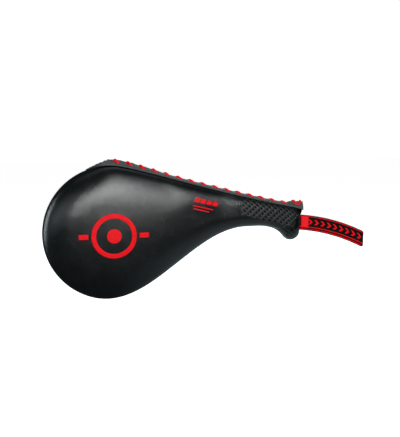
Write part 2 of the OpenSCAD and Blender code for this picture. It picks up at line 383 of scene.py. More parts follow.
UPPER, LOWER = outline()
UPPER_N, LOWER_N = edge_normals(UPPER, 1), edge_normals(LOWER, -1)
HALF = np.linalg.norm(UPPER - LOWER, axis=1) / 2
HALF[: N_HEAD + 1] = HEAD_R
HALF[N_HEAD + 1:] *= 1 + (HEAD_R / HALF[N_HEAD + 1] - 1) * np.exp(-np.arange(len(HALF) - N_HEAD - 1) / 20)
UPPER_IN = inner_line(UPPER, UPPER_N, LOWER, HALF)
LOWER_IN = inner_line(LOWER, LOWER_N, UPPER, HALF)
LAST = len(UPPER) - 1
# evened out where the spine bends away from the head, so that the line does not fold
BEND_A, BEND_B = N_HEAD - 30, N_HEAD + 40
for _ in range(150):
    inner = UPPER_IN[BEND_A:BEND_B]
    inner += (UPPER_IN[BEND_A - 1:BEND_B - 1] - 2 * inner + UPPER_IN[BEND_A + 1:BEND_B + 1]) / 4


def crown(x, z):
    """The faces of the head stand a little proud in the middle."""
    rho = np.hypot(x - 8, z)
    return 4.0 * np.clip(1 - (rho / 92) ** 2, 0, 1) ** 1.2


def skin_points(c, q, n, f, y0, s):
    """Points a share f of the way from the edge c to the inner line q.

    n is the edge's inward direction, y0 the seam's half width there, and s the inset.
    """
    s = s * np.ones(len(c))
    p = c + n * s[:, None]
    w = p + (q - p) * f
    h = y0 + (half_t(w[:, 0]) - s - y0) * swell(f) + crown(w[:, 0], w[:, 1])
    return np.stack([w[:, 0], MID_Y - h, w[:, 1]], 1)


def skin_sheet(a, b, s, low=0.0):
    """Front surface of the body between stations a and b, inset by s.

    With low above 0, the outermost ring is drawn in and raised, for a filling's lower edge.
    Returns points, faces, each point's ring number, and the points across each station.
    The rings run round from the seam in; rows across the middle join the two inner lines.
    """
    across = np.arange(1, N_ROWS)[:, None] / N_ROWS
    end_p, end_q = (upper[b] * (1 - across) + lower[b] * across
                    for upper, lower in ((UPPER, LOWER), (UPPER_IN, LOWER_IN)))
    first = 1 if a == 0 else a
    rings = []
    for f in (np.arange(N_RINGS) / (N_RINGS - 1)) ** 1.5:
        lift = low + 0.6 if low and f == 0 else 0
        deep = s + (0.5 + 3.4 * ease((UPPER[a:b + 1, 0] + 46) / 28) if lift else 0)
        shallow = s + (0.5 if lift else 0)
        parts = [skin_points(UPPER[a:b + 1], UPPER_IN[a:b + 1], UPPER_N[a:b + 1], f,
                             np.maximum(spine_gap(UPPER[a:b + 1, 0]), lift), deep)]
        if b == LAST:
            parts.append(skin_points(end_p, end_q, np.array([[-1.0, 0.0]]), f,
                                     np.maximum(end_gap(end_p[:, 1]), lift), shallow))
        parts.append(skin_points(LOWER[first:b + 1], LOWER_IN[first:b + 1], LOWER_N[first:b + 1], f,
                                 np.maximum(SEAM_Y, lift), shallow)[::-1])
        rings.append(np.vstack(parts))
    c = len(rings[0])
    verts = list(np.vstack(rings))
    ring_of = [r for r in range(N_RINGS) for _ in range(c)]
    faces = band_faces(N_RINGS, c)
    last_ring = (N_RINGS - 1) * c
    below, columns = [], []
    for i in range(a, b + 1):
        top = last_ring + i - a
        if i == 0:
            row = [top] * (N_ROWS + 1)
        elif i == LAST:
            row = list(range(top, top + N_ROWS + 1))
        else:
            bottom = last_ring + c - 1 - (i - first)
            row = [top]
            for q in range(1, N_ROWS):
                p = verts[top] + (verts[bottom] - verts[top]) * q / N_ROWS
                p[1] = MID_Y - (half_t(p[0]) - s + crown(p[0], p[2]))
                row.append(len(verts))
                verts.append(p)
                ring_of.append(N_RINGS)
            row.append(bottom)
        down = [r * c + c - 1 - (i - first) for r in range(N_RINGS - 1)][::-1] if i else []
        columns.append([r * c + i - a for r in range(N_RINGS - 1)] + row + down)
        if below:
            faces += [[below[q], below[q + 1], row[q + 1], row[q]] if i > 1 or a > 0
                      else [below[0], row[q + 1], row[q]] for q in range(N_ROWS)]
        below = row
    return np.array(verts), faces, np.array(ring_of), columns


def filling(name, a, b, low):
    """Closed foam block from a flat base at height low out to just inside a cover."""
    inset = SKIN_T + 0.7
    top, faces, ring_of, _ = skin_sheet(a, b, inset, low)
    c = int((ring_of == 0).sum())
    base = top.copy()
    base[:, 1] = MID_Y - low
    n = len(top)
    side = [[k, (k + 1) % c, n + (k + 1) % c, n + k] for k in range(c)]
    return make(name, np.vstack([top, base]), faces + [[n + k for k in f[::-1]] for f in faces] + side)


# ---------------------------------------- covers
def puffed(obj, hold, pressure, cap):
    """Cloth pressure inside the skin. hold is 1 where a point is sewn down; cap is in mm."""
    start = get_points(obj)
    group = obj.vertex_groups.new(name="sewn")
    for level in np.unique(np.round(hold, 1)):
        chosen = np.nonzero(np.round(hold, 1) == level)[0].tolist()
        group.add(chosen, float(level), "REPLACE")
    mod = obj.modifiers.new("cloth", "CLOTH")
    cloth = mod.settings
    cloth.vertex_group_mass = "sewn"
    cloth.use_pressure = True
    cloth.uniform_pressure_force = pressure
    cloth.effector_weights.gravity = 0
    cloth.quality = 6
    scene = bpy.context.scene
    for step in range(1, 21):
        scene.frame_set(step)
        bpy.context.view_layer.update()
    graph = bpy.context.evaluated_depsgraph_get()
    end = read(obj.evaluated_get(graph).to_mesh().vertices, "co") / MM
    obj.modifiers.clear()
    obj.vertex_groups.clear()
    scene.frame_set(1)
    shift = end - start
    size = np.linalg.norm(shift, axis=1, keepdims=True)
    shift *= cap * np.tanh(size / cap) / np.maximum(size, 1e-9) * (1 - hold)[:, None]
    set_points(obj, start + shift)
    print(f"cloth moved up to {size.max():.2f} mm, kept {np.abs(shift).max():.2f}")


def beside(x, z, start, end):
    """How far along the line from start to end a place lies, as a share, and how far to its left."""
    dx, dz = end[0] - start[0], end[1] - start[1]
    along = ((x - start[0]) * dx + (z - start[1]) * dz) / (dx**2 + dz**2)
    return along, ((z - start[1]) * dx - (x - start[0]) * dz) / math.hypot(dx, dz)


def grip_zone(x, z):
    """1 where the grip is covered in bumps, fading to 0 outside."""
    left = ease((x - 183) / 5)
    low = np.minimum(ease(beside(x, z, (186, 24.3), (221, 11))[1] / 5 + 0.5),
                     ease(beside(x, z, (221, 11), (272.5, -1.7))[1] / 6 + 0.5))
    right = ease((276 - x + 0.2 * (z - 19)) / 8)
    return left * low * right


def bumps(x, v):
    """Height 0 to 1 of round bumps between pits on a diamond lattice along the grip."""
    slant = 0.19
    i, j = (x + slant * v) / 4.45, (v + slant * (x - 230)) / 3.95
    return (0.5 + 0.5 * np.cos(math.pi * i) * np.cos(math.pi * j)) ** 0.6


def gathers(x, z, rim):
    """Small pleats where the opening starts on the head."""
    at_start = np.exp(-(((x + 32) / 11) ** 2)) * np.exp(-(((rim - 0.12) / 0.16) ** 2)) * (z > 60)
    return -0.35 * at_start * np.cos((x + 14 + 14 * rim) * 0.95) ** 2


# folds that run down across the heel: both ends, depth and width
HEEL_FOLDS = (((246, 1), (266, -13), 1.0, 1.7), ((257, 3), (270, -8), 0.7, 1.5),
              ((240, -1), (259, -12), 0.7, 1.8))


def heel_folds(x, z):
    """Each fold is a bowed furrow with a low ridge beside it."""
    lift = 0
    for start, end, deep, wide in HEEL_FOLDS:
        along, off = beside(x, z, start, end)
        off = off - 2.2 * np.sin(np.clip(along, 0, 1) * math.pi)
        fade = ease((along + 0.15) / 0.3) * ease((1.15 - along) / 0.3)
        ridge, furrow = (np.exp(-(((off - middle) / wide) ** 2)) for middle in (wide, 0))
        lift = lift + deep * fade * (0.5 * ridge - furrow)
    return lift


def shaped_cover():
    """The front cover's outer skin with everything that is moulded or pulled into it."""
    verts, faces, ring_of, columns = skin_sheet(0, LAST, 0.0)
    obj = make("front_cover_skin", verts, faces)
    v = verts[:, 2].copy()
    for column in columns[1:]:
        line = verts[column]
        arc = lengths(line)
        middle = len(column) // 2
        v[column] = arc[middle] - arc + line[middle, 2]
    store(obj, "u", verts[:, 0])
    store(obj, "v", v)
    store(obj, "rim", np.minimum(ring_of, N_RINGS - 1) / (N_RINGS - 1))
    # only the middle of the head is free to swell
    at_seam = np.clip(1 - (ring_of - 1) / 6, 0, 1)
    towards_grip, at_pole = ease((verts[:, 0] - 95) / 60), ease((-20 - verts[:, 0]) / 22)
    puffed(obj, np.maximum(np.maximum(at_seam, towards_grip), at_pole), 4.0, 1.6)
    modify(obj, "SUBSURF", levels=1, render_levels=1)
    co, n = get_points(obj), read(obj.data.vertices, "normal")
    x, z, u, v, rim = co[:, 0], co[:, 2], stored(obj, "u"), stored(obj, "v"), stored(obj, "rim")
    zone = grip_zone(x, v) * ease(rim / 0.12)
    lift = 0.65 * zone * (bumps(u, v) - 0.6) + gathers(x, z, rim) + heel_folds(x, z)
    set_points(obj, co + n * lift[:, None])
    store(obj, "grip", zone)
    store(obj, "pit", zone * (1 - bumps(u, v)))
    return obj


front_skin = shaped_cover()
back_skin = mirrored(front_skin, "back_cover_skin")
skin_tree = BVHTree.FromPolygons([Vector(p) for p in get_points(front_skin)],
                                 [tuple(p.vertices) for p in front_skin.data.polygons])
for skin, node in ((front_skin, "front_cover"), (back_skin, "back_cover")):
    modify(skin, "SOLIDIFY", thickness=SKIN_T * MM, offset=-1, use_rim=True)
    belongs(skin, "paddle", "cover_leather", node)

# foam under the covers, cut where the head's pad meets the grip's former
CUT = N_HEAD + 51
for node, a, b, low in (("front_pad", 0, CUT, 1.8), ("front_grip_former", CUT + 1, LAST, 2.9)):
    foam = filling(node + "_foam", a, b, low)
    twin_node = node.replace("front", "back")
    for piece, name in ((foam, node), (mirrored(foam, twin_node + "_foam"), twin_node)):
        belongs(piece, "paddle", "pad_foam" if "pad" in name else "former_foam", name)


# ---------------------------------------- the laced edge
T_TABLE = np.linspace(-0.4, 1.05, 4000)
X_TABLE = spine_at(T_TABLE)[:, 0]
LIP_X = spine_at(np.array([-0.325, 1.006]))[:, 0]
RIDGE_Y = 0.9  # from the middle plane to a lip's free edge
HOLE_REACH = 0.42  # from the free edge to the holes, as a share of a lip's width
LAST_TURN_X = FIRST_X + PITCH * (TURNS - 1)
LOCK_X = LAST_TURN_X + 3.3
FRONT_HOLES = np.append(FIRST_X + PITCH * np.arange(TURNS), LOCK_X)
BACK_HOLES = np.append(FIRST_X + PITCH * (np.arange(TURNS) - 0.5), LOCK_X + 1)


def foot(x):
    """From the middle plane to the line where a lip is sewn down."""
    return spine_gap(x) + 0.25


def rise(x):
    """Height of a lip's free edge over its foot: tall at its start, and again in the end tab."""
    start = (2.7 + 3.0 * (1 - ease((x - 5) / 100))) * (0.02 + 0.98 * ease((x + 30) / 32))
    tab = 2.4 * ease((x - GRIP_X + 23) / 9) + 3.4 * np.clip((x - GRIP_X + 20) / 20, 0, 1)
    return start + tab


def over_lip(x, y, e):
    """The place at distance y from the middle plane and height e over a lip's middle surface."""
    x, y, e = (np.array(k, float) for k in np.broadcast_arrays(x, y, e))
    p = spine_at(np.interp(x, X_TABLE, T_TABLE))
    g, r = foot(x), rise(x)
    v = (g - np.abs(y)) / (g - RIDGE_Y)
    o = unit(np.stack([r * np.clip(np.abs(y) / 2.5, 0, 1), g - RIDGE_Y], -1))
    lift = LIP_LIFT * (0.35 + 0.65 * ease((x + 35) / 18))
    return np.stack([x, MID_Y + y + np.sign(y) * e * o[..., 0],
                     p[..., 1] + lift + v * r + e * o[..., 1]], -1)


def hole_y(x):
    """From the middle plane to the holes."""
    return RIDGE_Y + HOLE_REACH * (foot(x) - RIDGE_Y)


def sheet(name, point, xs, width, half, across=15, arc=3):
    """A closed thin sheet with rounded edges along the places xs.

    point(x, v, e) gives a place: v runs 0 to 1 across, e is the height off the middle surface.
    Stores the length and the distance across, in millimetres, as u and v.
    """
    w = np.asarray(width(xs), float)[:, None] * np.ones((len(xs), 1))
    h = np.minimum(half, 0.42 * w)
    q = np.linspace(0, 1, across)[None, :]
    turn = np.radians(np.linspace(90, -90, arc + 2)[1:-1])[None, :]
    top = (h + (w - 2 * h) * q) / w
    side = 1 - h / w + h / w * np.cos(turn)
    v = np.hstack([top, side, top[:, ::-1], 1 - side])
    e = np.hstack([h + 0 * top, h * np.sin(turn), -h + 0 * top, -h * np.sin(turn)])
    x = np.asarray(xs, float)[:, None] * np.ones_like(v)
    c = v.shape[1]
    verts = point(x, v, e).reshape(-1, 3)
    ends = [list(range(c)), [(len(xs) - 1) * c + k for k in range(c)]]
    obj = solid(name, verts, band_faces(len(xs), c) + ends)
    store(obj, "u", x)
    store(obj, "v", v * w)
    store(obj, "rim", (e > 0).astype(float))
    return obj


def lip(name, holes, side, drop, scallop):
    """One lip: pressed in under each turn of the lace, curled at its foot, creased at its start.

    Where the lace starts its free edge stands drop lower, and is pulled up by scallop
    beside each turn.
    """
    def width(x):
        return np.hypot(foot(x) - RIDGE_Y, rise(x))

    def place(x, v, e):
        w = width(x)
        for hole in holes:
            across, reach = (v - 1 + HOLE_REACH) * w, HOLE_REACH * w
            along = np.clip(across / reach, 0, 1)
            away = np.hypot(x - hole - side * PITCH / 4 * along, across - along * reach)
            e = e - 1.15 * np.exp(-((away / 2.3) ** 2))
        waves = 0.16 * np.sin(x * 0.83 + 4 * v) * np.sin(x * 0.31 + 1)
        creases = 0.45 * np.sin(x * 1.1 + 5 * v) * ease((x + 30) / 12) * (1 - ease((x - 2) / 8))
        e = e + (waves + creases) * v
        out = over_lip(x, side * (foot(x) - v * (foot(x) - RIDGE_Y)), e)
        phase = ((x - FIRST_X + 0.25 * PITCH) / PITCH) % 1
        saw = ease((phase - 0.1) / 0.16) * (1 - ease((phase - 0.3) / 0.72))
        at_start = (1 - ease((x - 40) / 50)) * ease((x + 12) / 14)
        curl = (1.5 + 1.4 * ease((x - GRIP_X + 12) / 10)) * np.clip(1 - v / 0.12, 0, 1) ** 2
        out[..., 2] += at_start * (scallop * saw - drop) * np.clip(v, 0, 1) ** 1.5 - curl
        # the end tab leans outward
        out[..., 0] += 2.9 * np.clip(v, 0, 1) * ease((x - GRIP_X + 9) / 9)
        return out

    xs = np.arange(LIP_X[0], LIP_X[1], 0.8)
    return sheet(name, place, xs, width, LIP_T / 2, across=21)


belongs(lip("front_lip_leather", FRONT_HOLES, -1, 1.6, 2.4), "paddle", "lip_leather", "front_lip")
belongs(lip("back_lip_leather", BACK_HOLES, 1, -0.3, 0.8), "paddle", "lip_leather", "back_lip")


def stitches(name, side):
    """A row of thread stitches along a lip's foot, each diving into the leather at both ends."""
    parts = []
    spacing, half_length, from_foot = 5.0, 1.75, 1.9
    for middle in np.arange(6, GRIP_X - 4, spacing):
        run = np.linspace(-1, 1, 9)
        x = middle + half_length * run
        e = LIP_T / 2 + 0.12 - 0.75 * np.abs(run) ** 3
        path = over_lip(x, side * (foot(x) - from_foot), e)
        parts.append(tube(path, lambda s, a: 0.36 + 0.03 * np.sin(2 * a + 9 * s), 10, (0, 0, 1)))
    return solid(name, *joined(parts))


for side, node in ((-1, "front_lip_thread"), (1, "back_lip_thread")):
    belongs(stitches(node + "_stitches", side), "paddle", "black_thread", node)


def tongue_half(x):
    """Half width of the tongue: a little less than the opening it closes."""
    return np.maximum(0.6, spine_gap(x) - 2.4)


def tongue_place(x, v, e):
    p = spine_at(np.interp(x, X_TABLE, T_TABLE))
    dip = 0.25 * np.sin(x * 0.7) * np.sin(math.pi * v)
    return np.stack([x, MID_Y + tongue_half(x) * (2 * v - 1), p[..., 1] - 3.6 + e - dip], -1)


tongue = sheet("tongue_liner", tongue_place, np.arange(-28, GRIP_X - 3, 2.5),
               lambda x: 2 * tongue_half(x), 0.55, across=9)
belongs(tongue, "paddle", "liner", "tongue")


def plait(s, ang):
    """Yarns crossing both ways round the cord, from -1 to 1 at length s and angle ang."""
    return np.maximum(np.sin(4 * ang + 1.5 * s), np.sin(4 * ang - 1.5 * s))


def cord(name, x, a):
    """Braided cord through the holes: angle a is 0 at the front hole and 180 at the back one.

    It lies half sunk in the lips outside, lower on the back one, and clear of them inside.
    """
    s = np.sin(np.radians(a))
    outside = 0.2 - 0.55 * ease((a % 360 - 80) / 35)
    off = LIP_T / 2 + CORD_R * np.where(s > 0, outside, 1.05)
    path = over_lip(x, -hole_y(x) * np.cos(np.radians(a)), off * np.sign(s) * np.abs(s) ** 0.42)
    sides, step = 24, 0.42
    path = even(smoothed(even(path, 0.5), 14), step)
    obj = solid(name, *tube(path, lambda s, ang: CORD_R * (0.97 + 0.085 * plait(s, ang)), sides))
    s = np.arange(len(path))[:, None] * step
    ang = np.arange(sides)[None, :] * 2 * math.pi / sides
    store(obj, "u", s + 0 * ang)
    store(obj, "v", 0 * s + ang * CORD_R)
    store(obj, "rim", np.clip(plait(s, ang), 0, 1))
    return obj


# both cords start and end hidden between the lips, 45 degrees past a hole
turn = np.arange(-45, 360 * TURNS - 180 + 46, 4.0)
belongs(cord("lace_cord", LAST_TURN_X - PITCH * turn / 360, turn), "paddle", "red_cord", "lace")
turn = np.arange(-45, 226, 4.0)
belongs(cord("lace_lock_cord", LAST_TURN_X + 2.4 + turn / 20, turn), "paddle", "red_cord", "lace_lock")


# ---------------------------------------- print on the front face
def on_skin(x, z, proud):
    """Points laid on the front cover at the places x, z."""
    out = []
    for a, b, d in zip(np.ravel(x), np.ravel(z), np.ravel(proud * np.ones(np.shape(x)))):
        hit, normal, _, _ = skin_tree.ray_cast(Vector((a, -80, b)), Vector((0, 1, 0)))
        out.append(hit + normal * (d if normal.y < 0 else -d))
    return np.array(out)


def patch(rows):
    """Closed thin print over a grid of x, z places: a proud top and an underside in the skin."""
    rows = np.asarray(rows, float)
    k, c = rows.shape[:2]
    top = on_skin(rows[..., 0], rows[..., 1], 0.16)
    under = on_skin(rows[..., 0], rows[..., 1], -0.25)
    n = k * c
    faces = band_faces(k, c, closed=False)
    rim = (list(range(c)) + [r * c + c - 1 for r in range(1, k)]
           + [(k - 1) * c + i for i in range(c - 2, -1, -1)] + [r * c for r in range(k - 2, 0, -1)])
    faces += [[n + i for i in f[::-1]] for f in faces]
    faces += [[a, b, n + b, n + a] for a, b in zip(rim, rim[1:] + rim[:1])]
    return np.vstack([top, under]), faces


RING_R = (24.5, 31.0)
DOT_R = (0.4, 10.0)  # a ring too, with a pinhole in its middle
BAR_X = (35, 48)  # from and to, on both sides of the ring
BAR_HALF_H = 3.5
# on the neck, from its middle: start and length along it, level and height across it
NECK_BLOCKS = [(-17.8 + 9.2 * k, 7.4, 0.0, 6.0) for k in range(4)]
NECK_LINES = [(-16.0, 31.0, -8.6, 1.5), (-13.0, 24.0, -13.0, 1.5)]
NECK_MIDDLE = (132.6, 42.1)
NECK_TILT = math.radians(-14.4)


def neck_place(a, b):
    """A place on the neck's front, a along its upper edge and b across."""
    x = NECK_MIDDLE[0] + a * math.cos(NECK_TILT) - b * math.sin(NECK_TILT)
    return x, NECK_MIDDLE[1] + a * math.sin(NECK_TILT) + b * math.cos(NECK_TILT)


def emblem():
    """A generic target, a ring and a dot between two bars, and a few plain bars on the neck."""
    parts = []
    ang = np.radians(np.arange(0, 361, 2.5))
    for r0, r1 in (RING_R, DOT_R):
        radii = np.linspace(r0, r1, max(4, int((r1 - r0) / 0.9)))
        parts.append(patch([[(r * math.cos(t), r * math.sin(t)) for t in ang] for r in radii]))
    for side in (-1, 1):
        parts.append(patch([[(side * x, z) for x in np.linspace(*BAR_X, 14)]
                            for z in np.linspace(-BAR_HALF_H, BAR_HALF_H, 9)]))
    lean = 0.3
    for start, length, level, height in NECK_BLOCKS + NECK_LINES:
        rows = [level + height * (k / 6 - 0.5) for k in range(7)]
        parts.append(patch([[neck_place(a + lean * b, b) for a in np.linspace(start, start + length, 18)]
                            for b in rows]))
    return solid("emblem_print", *joined(parts), weld=0.02)


belongs(emblem(), "paddle", "red_print", "emblem")


# ---------------------------------------- wrist loop
END_X = LOOP_X + 2 * ARM  # hinge between the far layers and the fold
FOLD_X = END_X + 1.2
FOLD_R = LAYER_Y
FOLD_END = FOLD_X + math.pi * FOLD_R
CREASE_GAP = 0.06  # half the space between the fold and the far back layer
RIB = 1.25  # spacing of the ribs along the webbing
ROPE = 1.9  # spacing of the strands in its edges


def back_at(x):
    """Length along the loop of the place x on the back layer."""
    return FOLD_END + FOLD_X - x


def loop_line(s):
    """Middle of the webbing at length s: out along the front, round the fold and back."""
    turn = np.clip((s - FOLD_X) / FOLD_R, 0, math.pi)
    back = np.maximum(s - FOLD_END, 0)
    x = np.minimum(s, FOLD_X) + FOLD_R * np.sin(turn) - back
    y = MID_Y - FOLD_R * np.cos(turn)
    z = sag(x) - LAYER_DROP * turn / math.pi
    return x, y, z, turn


def web_place(x, v, e):
    """The webbing's surface: ribbed across, with a thicker rope-like edge on both sides."""
    px, py, pz, turn = loop_line(x)
    # the webbing slopes, so that its height in z is more than its width
    slope = SAG_SLOPE + 2 * SAG_CURVE * (px - SAG_FROM)
    across = (v - 0.5) * WEB_W
    from_edge = WEB_W / 2 - np.abs(across)
    edge = ease((2.2 - from_edge) / 0.8)
    rib = 0.07 * np.sin(2 * math.pi * x / RIB + (across > 0) * math.pi)
    rope = 0.16 * np.sin(2 * math.pi * (x / ROPE + across / 2.6))
    groove = -0.13 * np.exp(-(((2.3 - from_edge) / 0.3) ** 2))
    out = e * (1 + (1 - edge) * rib + edge * (0.12 + rope) + groove)
    # round ends where the fold meets the far back layer
    crease = np.clip((np.abs(x - back_at(END_X)) - CREASE_GAP) / (WEB_T / 2), 0, 1)
    out = out * np.sqrt(np.maximum(1 - (1 - crease) ** 2, 0.01))
    side = across * np.sqrt(1 + slope**2) + edge * np.sign(across) * 0.12 * np.sin(2 * math.pi * x / ROPE)
    return np.stack([px + out * np.sin(turn), py - out * np.cos(turn), pz + side], -1)


def webbing(name, start, end):
    """The piece of webbing between two lengths along the loop."""
    xs = np.linspace(start, end, int(abs(end - start) / 0.42) + 2)
    return sheet(name, web_place, xs, lambda x: WEB_W + 0 * x, WEB_T / 2, across=33)


INNER_X = GRIP_X - 14  # the webbing's hidden ends
SPLIT_ROOT = ROOT_X + 6
SPLIT_ARM = LOOP_X + ARM / 2
SPLIT_FAR = SPLIT_ARM + ARM


def link(name, node, start, end):
    """A piece of webbing between two places along the loop."""
    piece = webbing(name, start, end)
    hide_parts(node)
    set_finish(piece, "webbing")
    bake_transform(piece)


for name, node, start, end, bodies, hinge_x in (
        ("strap_root_front_web", "strap_tail", INNER_X, SPLIT_ROOT,
         ("paddle", "loop_root"), ROOT_X),
        ("strap_root_back_web", "strap_root", back_at(SPLIT_ROOT), back_at(INNER_X),
         ("paddle", "loop_root"), ROOT_X),
        ("strap_front_near_web", "strap_front_near", SPLIT_ROOT, SPLIT_ARM,
         ("loop_root", "loop_front_near"), LOOP_X),
        ("strap_front_far_web", "strap_front_far", SPLIT_ARM, SPLIT_FAR,
         ("loop_front_near", "loop_front_far"), LOOP_X + ARM),
        ("strap_back_near_web", "strap_back_near", back_at(SPLIT_ARM), back_at(SPLIT_ROOT),
         ("loop_root", "loop_back_near"), LOOP_X),
        ("strap_back_far_web", "strap_back_far", back_at(END_X) + CREASE_GAP, back_at(SPLIT_ARM),
         ("loop_back_near", "loop_back_far"), LOOP_X + ARM)):
    link(name, node, start, end)
link("strap_fold_web", "strap_fold", SPLIT_FAR, back_at(END_X) - CREASE_GAP)


LABEL_W = 17.2
LABEL_START, LABEL_END = ROOT_X - 1.4, ROOT_X + 10.6
WEB_FRONT = MID_Y - LAYER_Y - WEB_T / 2


def label_z(x):
    return sag(x) - 0.4


def label_place(x, v, e):
    """The label's surface, laid on the front layer with a fine weave."""
    weave = 0.05 * np.sin(2 * math.pi * x / 0.9) * np.sin(2 * math.pi * v * 17 / 0.9)
    return np.stack([x, WEB_FRONT - 0.5 - e + weave, label_z(x) + (v - 0.5) * LABEL_W], -1)


label = sheet("strap_label_cloth", label_place, np.arange(LABEL_START, LABEL_END, 0.4),
              lambda x: LABEL_W + 0 * x, 0.4, across=49)
belongs(label, "loop_root", "red_label", "strap_label")


def label_stitches():
    """Two rows of short stitches near the label's ends."""
    parts = []
    for x in (LABEL_START + 1.6, LABEL_END - 1.4):
        for k in range(-4, 5):
            run = np.linspace(-1, 1, 7)
            z = label_z(x) + 1.8 * k + 0.65 * run
            y = WEB_FRONT - 0.98 + 0.4 * np.abs(run) ** 3
            path = np.stack([x + 0 * run, y, z], 1)
            parts.append(tube(path, lambda s, a: 0.24 + 0 * s * a, 8, (1, 0, 0)))
    return solid("label_thread_stitches", *joined(parts))


belongs(label_stitches(), "loop_root", "red_thread", "label_thread")


# ---------------------------------------- materials
class Shader:
    """Short names for building one material's nodes. Values may be numbers or sockets."""

    def __init__(self, name):
        self.material = bpy.data.materials.new(name)
        self.material.use_nodes = True
        self.tree = self.material.node_tree
        self.surface = self.tree.nodes["Principled BSDF"]

    def node(self, kind, inputs=None, **settings):
        made = self.tree.nodes.new("ShaderNode" + kind)
        for key, value in settings.items():
            setattr(made, key, value)
        for key, value in (inputs or {}).items():
            self.put(made.inputs[key], value)
        return made

    def put(self, socket, value):
        if isinstance(value, bpy.types.NodeSocket):
            self.tree.links.new(value, socket)
        elif isinstance(value, tuple) and len(value) == 3 and socket.type == "RGBA":
            socket.default_value = (*value, 1)
        else:
            socket.default_value = value

    def math(self, operation, a, b=0.0, c=0.0):
        made = self.node("Math", operation=operation)
        for socket, value in zip(made.inputs, (a, b, c)):
            self.put(socket, value)
        return made.outputs[0]

    def times(self, a, b):
        return self.math("MULTIPLY", a, b)

    def plus(self, a, b):
        return self.math("ADD", a, b)

    def place(self):
        """Object coordinates in metres."""
        return self.node("TexCoord").outputs["Object"]

    def stored(self, name):
        """A number kept on the mesh by store()."""
        return self.node("Attribute", attribute_name=name).outputs["Fac"]

    def uv(self):
        """The stored length and distance across, in millimetres, as one vector."""
        return self.node("CombineXYZ", {"X": self.stored("u"), "Y": self.stored("v")}).outputs[0]

    def noise(self, vector, scale, detail=3.0, rough=0.5):
        return self.node("TexNoise", {"Vector": vector, "Scale": scale, "Detail": detail,
                                      "Roughness": rough}).outputs["Fac"]

    def cells(self, vector, scale, feature="F1"):
        return self.node("TexVoronoi", {"Vector": vector, "Scale": scale},
                         feature=feature).outputs["Distance"]

    def steps(self, value, low, high):
        """0 on low's side and 1 on high's, eased between; low may be the greater."""
        return self.node("MapRange", {"Value": value, "From Min": low, "From Max": high},
                         interpolation_type="SMOOTHSTEP").outputs[0]

    def mix(self, amount, a, b):
        made = self.node("Mix", {"Factor": amount}, data_type="RGBA")
        self.put(made.inputs[6], a)
        self.put(made.inputs[7], b)
        return made.outputs[2]

    def stripes(self, value, period):
        """A sine from 0 to 1 with this period."""
        wave = self.math("SINE", self.math("MULTIPLY", value, 2 * math.pi / period))
        return self.math("MULTIPLY_ADD", wave, 0.5, 0.5)

    def bump(self, height, strength, depth_mm, over=None):
        inputs = {"Height": height, "Strength": strength, "Distance": depth_mm * MM}
        if over is not None:
            inputs["Normal"] = over
        return self.node("Bump", inputs).outputs[0]

    def finish(self, base, rough, normal=None, glow=0.0, **inputs):
        """Sets the surface's inputs, written with _ for a space, and returns the material."""
        inputs |= {"Base_Color": base, "Roughness": rough}
        if normal is not None:
            inputs["Normal"] = normal
        # glow: the surface emits its own base colour a little, a painted glow and no lamp
        if glow:
            inputs |= {"Emission_Color": base, "Emission_Strength": glow}
        for key, value in inputs.items():
            self.put(self.surface.inputs[key.replace("_", " ")], value)
        return self.material


SHOULDER = (166.0, -40.0, 38.0)  # where a highlight is painted on the neck, just before the bumps
